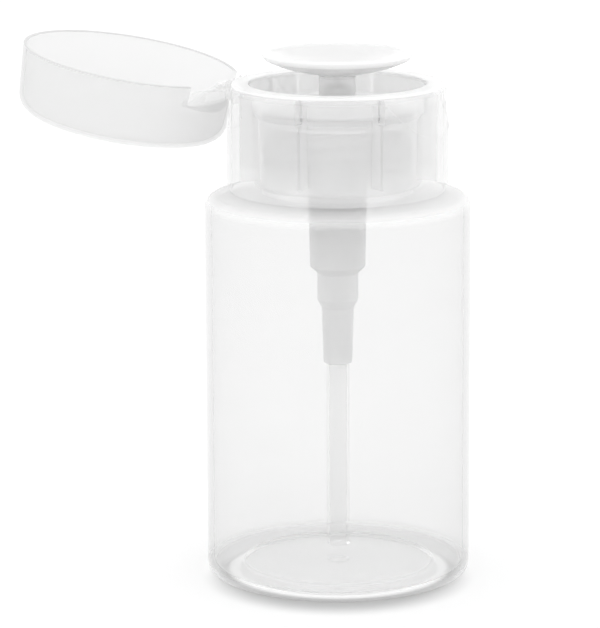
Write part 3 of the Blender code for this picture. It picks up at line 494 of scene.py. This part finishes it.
def mirrored(points):
    """The other half of a (y, height) outline, in the order that carries on round it."""
    return [(-y, z) for y, z in reversed(points)]


def curved_plate(name, inner, outer, points):
    """The part of a round wall between two radii that lies inside a (y, height) outline."""
    foot, top = LID_RIM - 2, LID_RIM + 10
    plate = turned(name, [(inner, foot), (outer, foot), (outer, top), (inner, top)], WALL_SIDES)
    block = side_block("plate_block", [(y, LID_RIM + z) for y, z in points])
    joined(plate, block, "INTERSECT")
    return plate


strap = curved_plate("lid_strap", LID_INSIDE, 24.86, strap_edge + mirrored(strap_edge))
pad = curved_plate("pad", 22.75, 23.43, pad_edge + pad_arc + mirrored(pad_edge))
joined(strap, pad, "UNION")
bridge = curved_plate("bridge", 23.1, 24.4, [(-8, 1.6), (8, 1.6), (8, 4.0), (-8, 4.0)])
joined(strap, bridge, "UNION")
KNUCKLE_RADIUS, KNUCKLE_HALF, KNUCKLE_ROOT_X = 0.75 * MM, 5.35 * MM, -24.16 * MM
knuckle_outline = [(KNUCKLE_ROOT_X, (LID_RIM + z) * MM) for z in (0.1, 1.6)] + [
    (HINGE.x + KNUCKLE_RADIUS * math.cos(a), HINGE.z + KNUCKLE_RADIUS * math.sin(a))
    for a in [math.radians(100 + 12.5 * step) for step in range(23)]
]
knuckle = bmesh.new()
verts = [knuckle.verts.new((x, -KNUCKLE_HALF, z)) for x, z in knuckle_outline]
thickened(knuckle, knuckle.faces.new(verts), (0, 2 * KNUCKLE_HALF, 0))
joined(strap, shown(knuckle, "knuckle"), "UNION")
PIN_RADIUS, PIN_HALF = 0.35, Vector((0, 7.1 * MM, 0))
pin = bmesh.new()
rod(pin, PIN_RADIUS, HINGE - PIN_HALF, HINGE + PIN_HALF, 24)
joined(strap, shown(pin, "pin"), "UNION")
strap.data.transform(SWING)
natural = grey(0.98)
strap.data.materials.clear()
strap.data.materials.append(
    moulded("strap_polypropylene", natural, rough=0.08, see_through=0.85)
)
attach(strap, "lid")
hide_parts("hinge_strap")

# Dispensing dish. A shallow, milky polypropylene bowl with a fine rounded rim, moulded with the
# clearer tube that it is pressed down by. Liquid wells up through the tapered outlet in its middle.
dish_outline = [
    (0.73, 112.2, 0.1),
    (3.03, 112.2, 0.2),
    (3.03, 105.0, 0.1),
    (4.1, 105.0, 0.25),
    (4.1, 114.7, 0.9),
    (5.76, 115.0, 6.0),
    (11.86, 116.4, 20.0),
    (16.3, 118.25, 1.2),
    (16.94, 119.2, 0.3),
    (16.94, 119.8, 0.22),
    (16.34, 119.8, 0.22),
    (15.7, 119.15, 1.0),
    (11.86, 117.65, 20.0),
    (5.76, 116.3, 6.0),
    (2.6, 116.0, 2.0),
    (1.1, 116.0, 0.25),
]
dish = turned("press_dish", dish_outline, sides=180)
milky = moulded(
    "dish_polypropylene", grey(0.77), rough=0.2, see_through=0.1, bend=1.1, gloss=0.3,
)
milk = milky.node_tree.nodes["Principled BSDF"].inputs
milk["Subsurface Weight"].default_value = 1.0
milk["Subsurface Scale"].default_value = 3 * MM
milk["Subsurface Radius"].default_value = (1, 1, 1)
dish.data.materials.append(milky)
dish.data.materials.append(
    moulded("dish_tube_polypropylene", natural, rough=0.1, see_through=0.5)
)
TUBE_TOP = 114.3
second_below(dish, TUBE_TOP)
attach(dish, "plunger")
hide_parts("dispensing_dish")

# Stem, its foot plug and the piston seal. The hollow stem carries the outlet valve in its top and a
# flange under the neck plug. The plug, pushed up into its foot, takes the spring. Both are
# polypropylene, and the soft seal sits between the two.
stem_outline = [
    (2.73, 91.4, 0.2), (2.73, 96.1), (4.3, 96.1, 0.2), (4.3, 96.9, 0.2), (2.73, 96.9),
    (2.73, 111.9, 0.3), (1.7, 111.9, 0.2), (1.7, 108.6, 0.1), (1.0, 107.9, 0.1), (1.0, 107.2),
    (1.2, 106.9), (1.2, 95.3), (1.9, 95.3, 0.1), (1.9, 91.4),
]
seat_outline = [
    (1.0, 89.2, 0.1), (4.6, 89.2, 0.2), (4.6, 90.2, 0.2), (1.6, 90.2), (1.6, 94.2, 0.2),
    (1.0, 94.2),
]
seal_outline = [
    (3.03, 90.6), (3.96, 90.6, 0.1), (4.26, 91.4, 0.15), (4.6, 90.6, 0.1), (4.9, 90.6, 0.1),
    (4.9, 91.5, 0.2), (4.45, 92.3, 0.3), (4.45, 94.1, 0.3), (4.9, 95.0, 0.2), (4.9, 95.8, 0.1),
    (3.03, 95.8, 0.1),
]
for name, node, outline, slot_name, rough in (
    ("hollow_stem", "piston_stem", stem_outline, "pump_plastic", 0.25),
    ("spring_plug", "spring_seat", seat_outline, "pump_plastic", 0.3),
    ("seal_ring", "piston_seal", seal_outline, "seal_soft", 0.45),
):
    piece = turned(name, outline, sides=96)
    plastic = moulded(name + "_plastic", natural, rough, see_through=0.1, bend=1.1)
    piece.data.materials.append(plastic)
    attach(piece, "plunger")
    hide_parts(node)

# Valve balls. Two ground stainless balls: the larger rests on a cone at the foot of the housing,
# the smaller in the top of the stem. Each lifts off its seat when the liquid flows.
STEEL_BEND = 1.5


def steel(name, colour, rough, grain):
    """Bright stainless steel."""
    metal = moulded(name, colour, rough, see_through=0.0, bend=STEEL_BEND, grain=grain)
    metal.node_tree.nodes["Principled BSDF"].inputs["Metallic"].default_value = 1.0
    return metal


for name, node, body in (
    ("foot_valve_ball", "inlet_ball", "inlet_valve"),
    ("top_valve_ball", "outlet_ball", "outlet_valve"),
):
    low, high = [Vector(corner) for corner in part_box(node)]
    shape = bmesh.new()
    bmesh.ops.create_uvsphere(
        shape, u_segments=48, v_segments=24, radius=(high.z - low.z) / 2,
        matrix=Matrix.Translation((low + high) / 2),
    )
    ball = shown(shape, name)
    ball.data.materials.append(steel(name + "_steel", grey(0.72), rough=0.12, grain=0.0005))
    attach(ball, body)
    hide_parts(node)

# Return spring. Stainless wire wound in eight turns, closed up at both ends. It stands on the
# housing's step and presses on the plug at the stem's foot, so it shortens as the dish goes down.
spring_low, spring_high = [Vector(corner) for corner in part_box("return_spring")]
wire, coil_radius, end_gap = 0.45 * MM, 4.2 * MM, 0.8 * MM
turns, end_turns, steps_a_turn = 8, 0.75, 40
end_rise = (2 * wire + end_gap) * end_turns
middle_rise = spring_high.z - spring_low.z - 2 * wire - 2 * end_rise
shape = bmesh.new()
start = Matrix.Translation((coil_radius, 0, spring_low.z + wire))
ring = bmesh.ops.create_circle(
    shape, cap_ends=False, segments=16, radius=wire,
    matrix=start @ Matrix.Rotation(math.pi / 2, 4, "X"),
)["verts"]
geometry = ring + list({edge for vert in ring for edge in vert.link_edges})
for share, rise in (
    (end_turns, end_rise),
    (turns - 2 * end_turns, middle_rise),
    (end_turns, end_rise),
):
    steps = round(share * steps_a_turn)
    geometry = bmesh.ops.spin(
        shape, geom=geometry, cent=(0, 0, 0), axis=(0, 0, 1), dvec=(0, 0, rise / steps),
        angle=2 * math.pi * share, steps=steps, use_merge=False, use_duplicate=False,
    )["geom_last"]
bmesh.ops.remove_doubles(shape, verts=shape.verts, dist=WELD)
open_ends = [edge for edge in shape.edges if edge.is_boundary]
bmesh.ops.holes_fill(shape, edges=open_ends, sides=0)
spring = shown(shape, "coil_spring")
spring.data.materials.append(steel("spring_steel", (0.62, 0.62, 0.63), rough=0.22, grain=0.001))
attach(spring, "pump")
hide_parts("return_spring")
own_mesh(spring)

# Pump housing, neck plug, washer and suction tube. The stepped polypropylene housing snaps up into
# the plug, which closes the neck with the soft washer under its flange. The clear tube is pushed up
# into the housing's tail.
housing_outline = [
    (2.9, 48.6, 0.1), (3.15, 48.6, 0.1), (3.3, 49.5, 0.3), (3.65, 61.4, 0.3), (4.65, 63.4, 0.4),
    (4.65, 69.45, 0.4), (6.25, 71.0, 0.6), (6.95, 104.5, 0.3), (5.65, 104.5, 0.2), (5.65, 97.2),
    (5.2, 96.9), (5.2, 70.9, 0.4), (3.4, 70.9, 0.3), (3.4, 68.1, 0.3), (2.2, 67.5, 0.3),
    (2.2, 66.9, 0.3), (3.4, 66.3, 0.3), (3.4, 65.2, 0.3), (2.0, 62.8, 0.2), (2.0, 60.6),
    (2.9, 60.6),
]
plug_outline = [
    (3.03, 97.2), (5.35, 97.2, 0.2), (5.35, 104.8), (7.25, 104.8), (7.25, 100.5, 0.1),
    (8.05, 100.5, 0.2), (8.05, 104.8), (12.9, 104.8, 0.3), (12.9, 99.5, 0.1), (13.8, 99.5, 0.2),
    (14.1, 99.8, 0.2), (14.1, 104.8), (16.75, 104.8, 0.1), (16.75, 105.8, 0.2),
    (4.4, 105.8, 0.3), (4.4, 98.4, 0.2), (3.03, 98.4, 0.1),
]
washer_outline = [(14.4, 103.7, 0.1), (16.0, 103.7, 0.1), (16.0, 104.5, 0.1), (14.4, 104.5, 0.1)]
tube_outline = [(1.95, 5.7, 0.1), (2.6, 5.7, 0.1), (2.6, 60.3, 0.1), (1.95, 60.3, 0.1)]
for name, node, outline, slot_name, tone, rough, clear in (
    ("housing_shell", "pump_housing", housing_outline, "pump_plastic", 0.83, 0.3, 0.3),
    ("neck_plug", "closure_insert", plug_outline, "pump_plastic", 0.98, 0.2, 0.5),
    ("sealing_washer", "neck_gasket", washer_outline, "seal_soft", 0.96, 0.6, 0.0),
    ("suction_tube", "dip_tube", tube_outline, "pump_plastic", 0.955, 0.03, 0.85),
):
    piece = turned(name, outline, sides=144)
    piece.data.materials.append(moulded(name + "_plastic", grey(tone), rough, clear, bend=1.04))
    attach(piece, "pump")
    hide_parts(node)

# Floor. A sheet of white paper runs on behind the bottle. It has a painted pool of light under the
# clear base, and a painted soft grey shadow in front of the heel, as in the photograph.
shape = bmesh.new()
bmesh.ops.create_grid(shape, x_segments=1, y_segments=1, size=6)
floor = shown(shape, "floor")
paper = bpy.data.materials.new("white_paper")
paper.use_nodes = True
tree = paper.node_tree
nodes, links = tree.nodes, tree.links
sheet = nodes["Principled BSDF"]
sheet.inputs["Roughness"].default_value = 0.9
sheet.inputs["Specular IOR Level"].default_value = 0.1
sheet.inputs["Emission Strength"].default_value = 0.5
fibre = nodes.new("ShaderNodeTexNoise")
fibre.inputs["Scale"].default_value = 400
place = nodes.new("ShaderNodeTexCoord")
# Painted light and shadow: the paper's glow and colour are lifted in a disc under the clear base
# and darkened in a soft patch in front of the heel.
painted_light_under_base = ((0, 0, 0), 24, 28.5, 1.15, 0.0)
painted_shadow_before_heel = ((2.85 * MM, -7.47 * MM, 0), 22, 32, 0.58, 1.0)
painted_light_shares = []
for centre, near, far, near_light, far_light in (painted_light_under_base, painted_shadow_before_heel):
    reach = nodes.new("ShaderNodeVectorMath")
    reach.operation = "DISTANCE"
    reach.inputs[1].default_value = centre
    links.new(place.outputs["Object"], reach.inputs[0])
    painted_light_shares.append(ranged(
        tree, reach.outputs["Value"], near * MM, far * MM, near_light, far_light, "SMOOTHSTEP",
    ))
painted_light_and_shadow = chosen(tree, "MAXIMUM", *painted_light_shares)
links.new(painted_light_and_shadow, sheet.inputs["Emission Color"])
tone = nodes.new("ShaderNodeMix")
tone.data_type = "RGBA"
tone.inputs["A"].default_value = (*grey(0.45), 1)
tone.inputs["B"].default_value = (*grey(0.47), 1)
links.new(fibre.outputs["Fac"], tone.inputs["Factor"])
# The painted light and shadow are multiplied into the paper's colour as well as its glow.
shade = nodes.new("ShaderNodeMix")
shade.data_type, shade.blend_type = "RGBA", "MULTIPLY"
shade.inputs["Factor"].default_value = 1.0
links.new(tone.outputs["Result"], shade.inputs["A"])
links.new(painted_light_and_shadow, shade.inputs["B"])
links.new(shade.outputs["Result"], sheet.inputs["Base Color"])
floor.data.materials.append(paper)

# Light. An even white sky of soft boxes, brighter near the horizon, so the plastic shows by its
# edges and by the light that it loses.
LOW_LIGHT, HIGH_LIGHT, HIGH_RISE = 1.8, 1.0, 0.9
sky = bpy.data.worlds.new("soft_boxes")
sky.use_nodes = True
tree = sky.node_tree
light = tree.nodes["Background"]
light.inputs["Color"].default_value = (1, 1, 1, 1)
place = tree.nodes.new("ShaderNodeTexCoord")
split = tree.nodes.new("ShaderNodeSeparateXYZ")
tree.links.new(place.outputs["Generated"], split.inputs["Vector"])
strength = ranged(tree, split.outputs["Z"], 0, HIGH_RISE, LOW_LIGHT, HIGH_LIGHT)
tree.links.new(strength, light.inputs["Strength"])
bpy.context.scene.world = sky
bpy.context.scene.view_settings.view_transform = "Standard"

# Camera. A long lens that looks down by about twelve degrees, turned round towards the scoop, as
# fitted to the photograph.
TURN = math.radians(20.9)
DISTANCE, EYE_HEIGHT = 0.7889, 0.2296
AIM_ASIDE, AIM_DOWN, ROLL = 0.625, 12.147, -0.252
eye = bpy.data.cameras.new("camera")
eye.lens = 203.33
eye.sensor_width = 36
eye.clip_start = 0.05
camera = bpy.data.objects.new("camera", eye)
bpy.context.scene.collection.objects.link(camera)
camera.location = (DISTANCE * math.sin(TURN), -DISTANCE * math.cos(TURN), EYE_HEIGHT)
aside = Matrix.Rotation(TURN + math.radians(AIM_ASIDE), 4, "Z")
down = Matrix.Rotation(math.radians(90 - AIM_DOWN), 4, "X")
roll = Matrix.Rotation(math.radians(ROLL), 4, "Z")
camera.rotation_euler = (aside @ down @ roll).to_euler()
bpy.context.scene.camera = camera
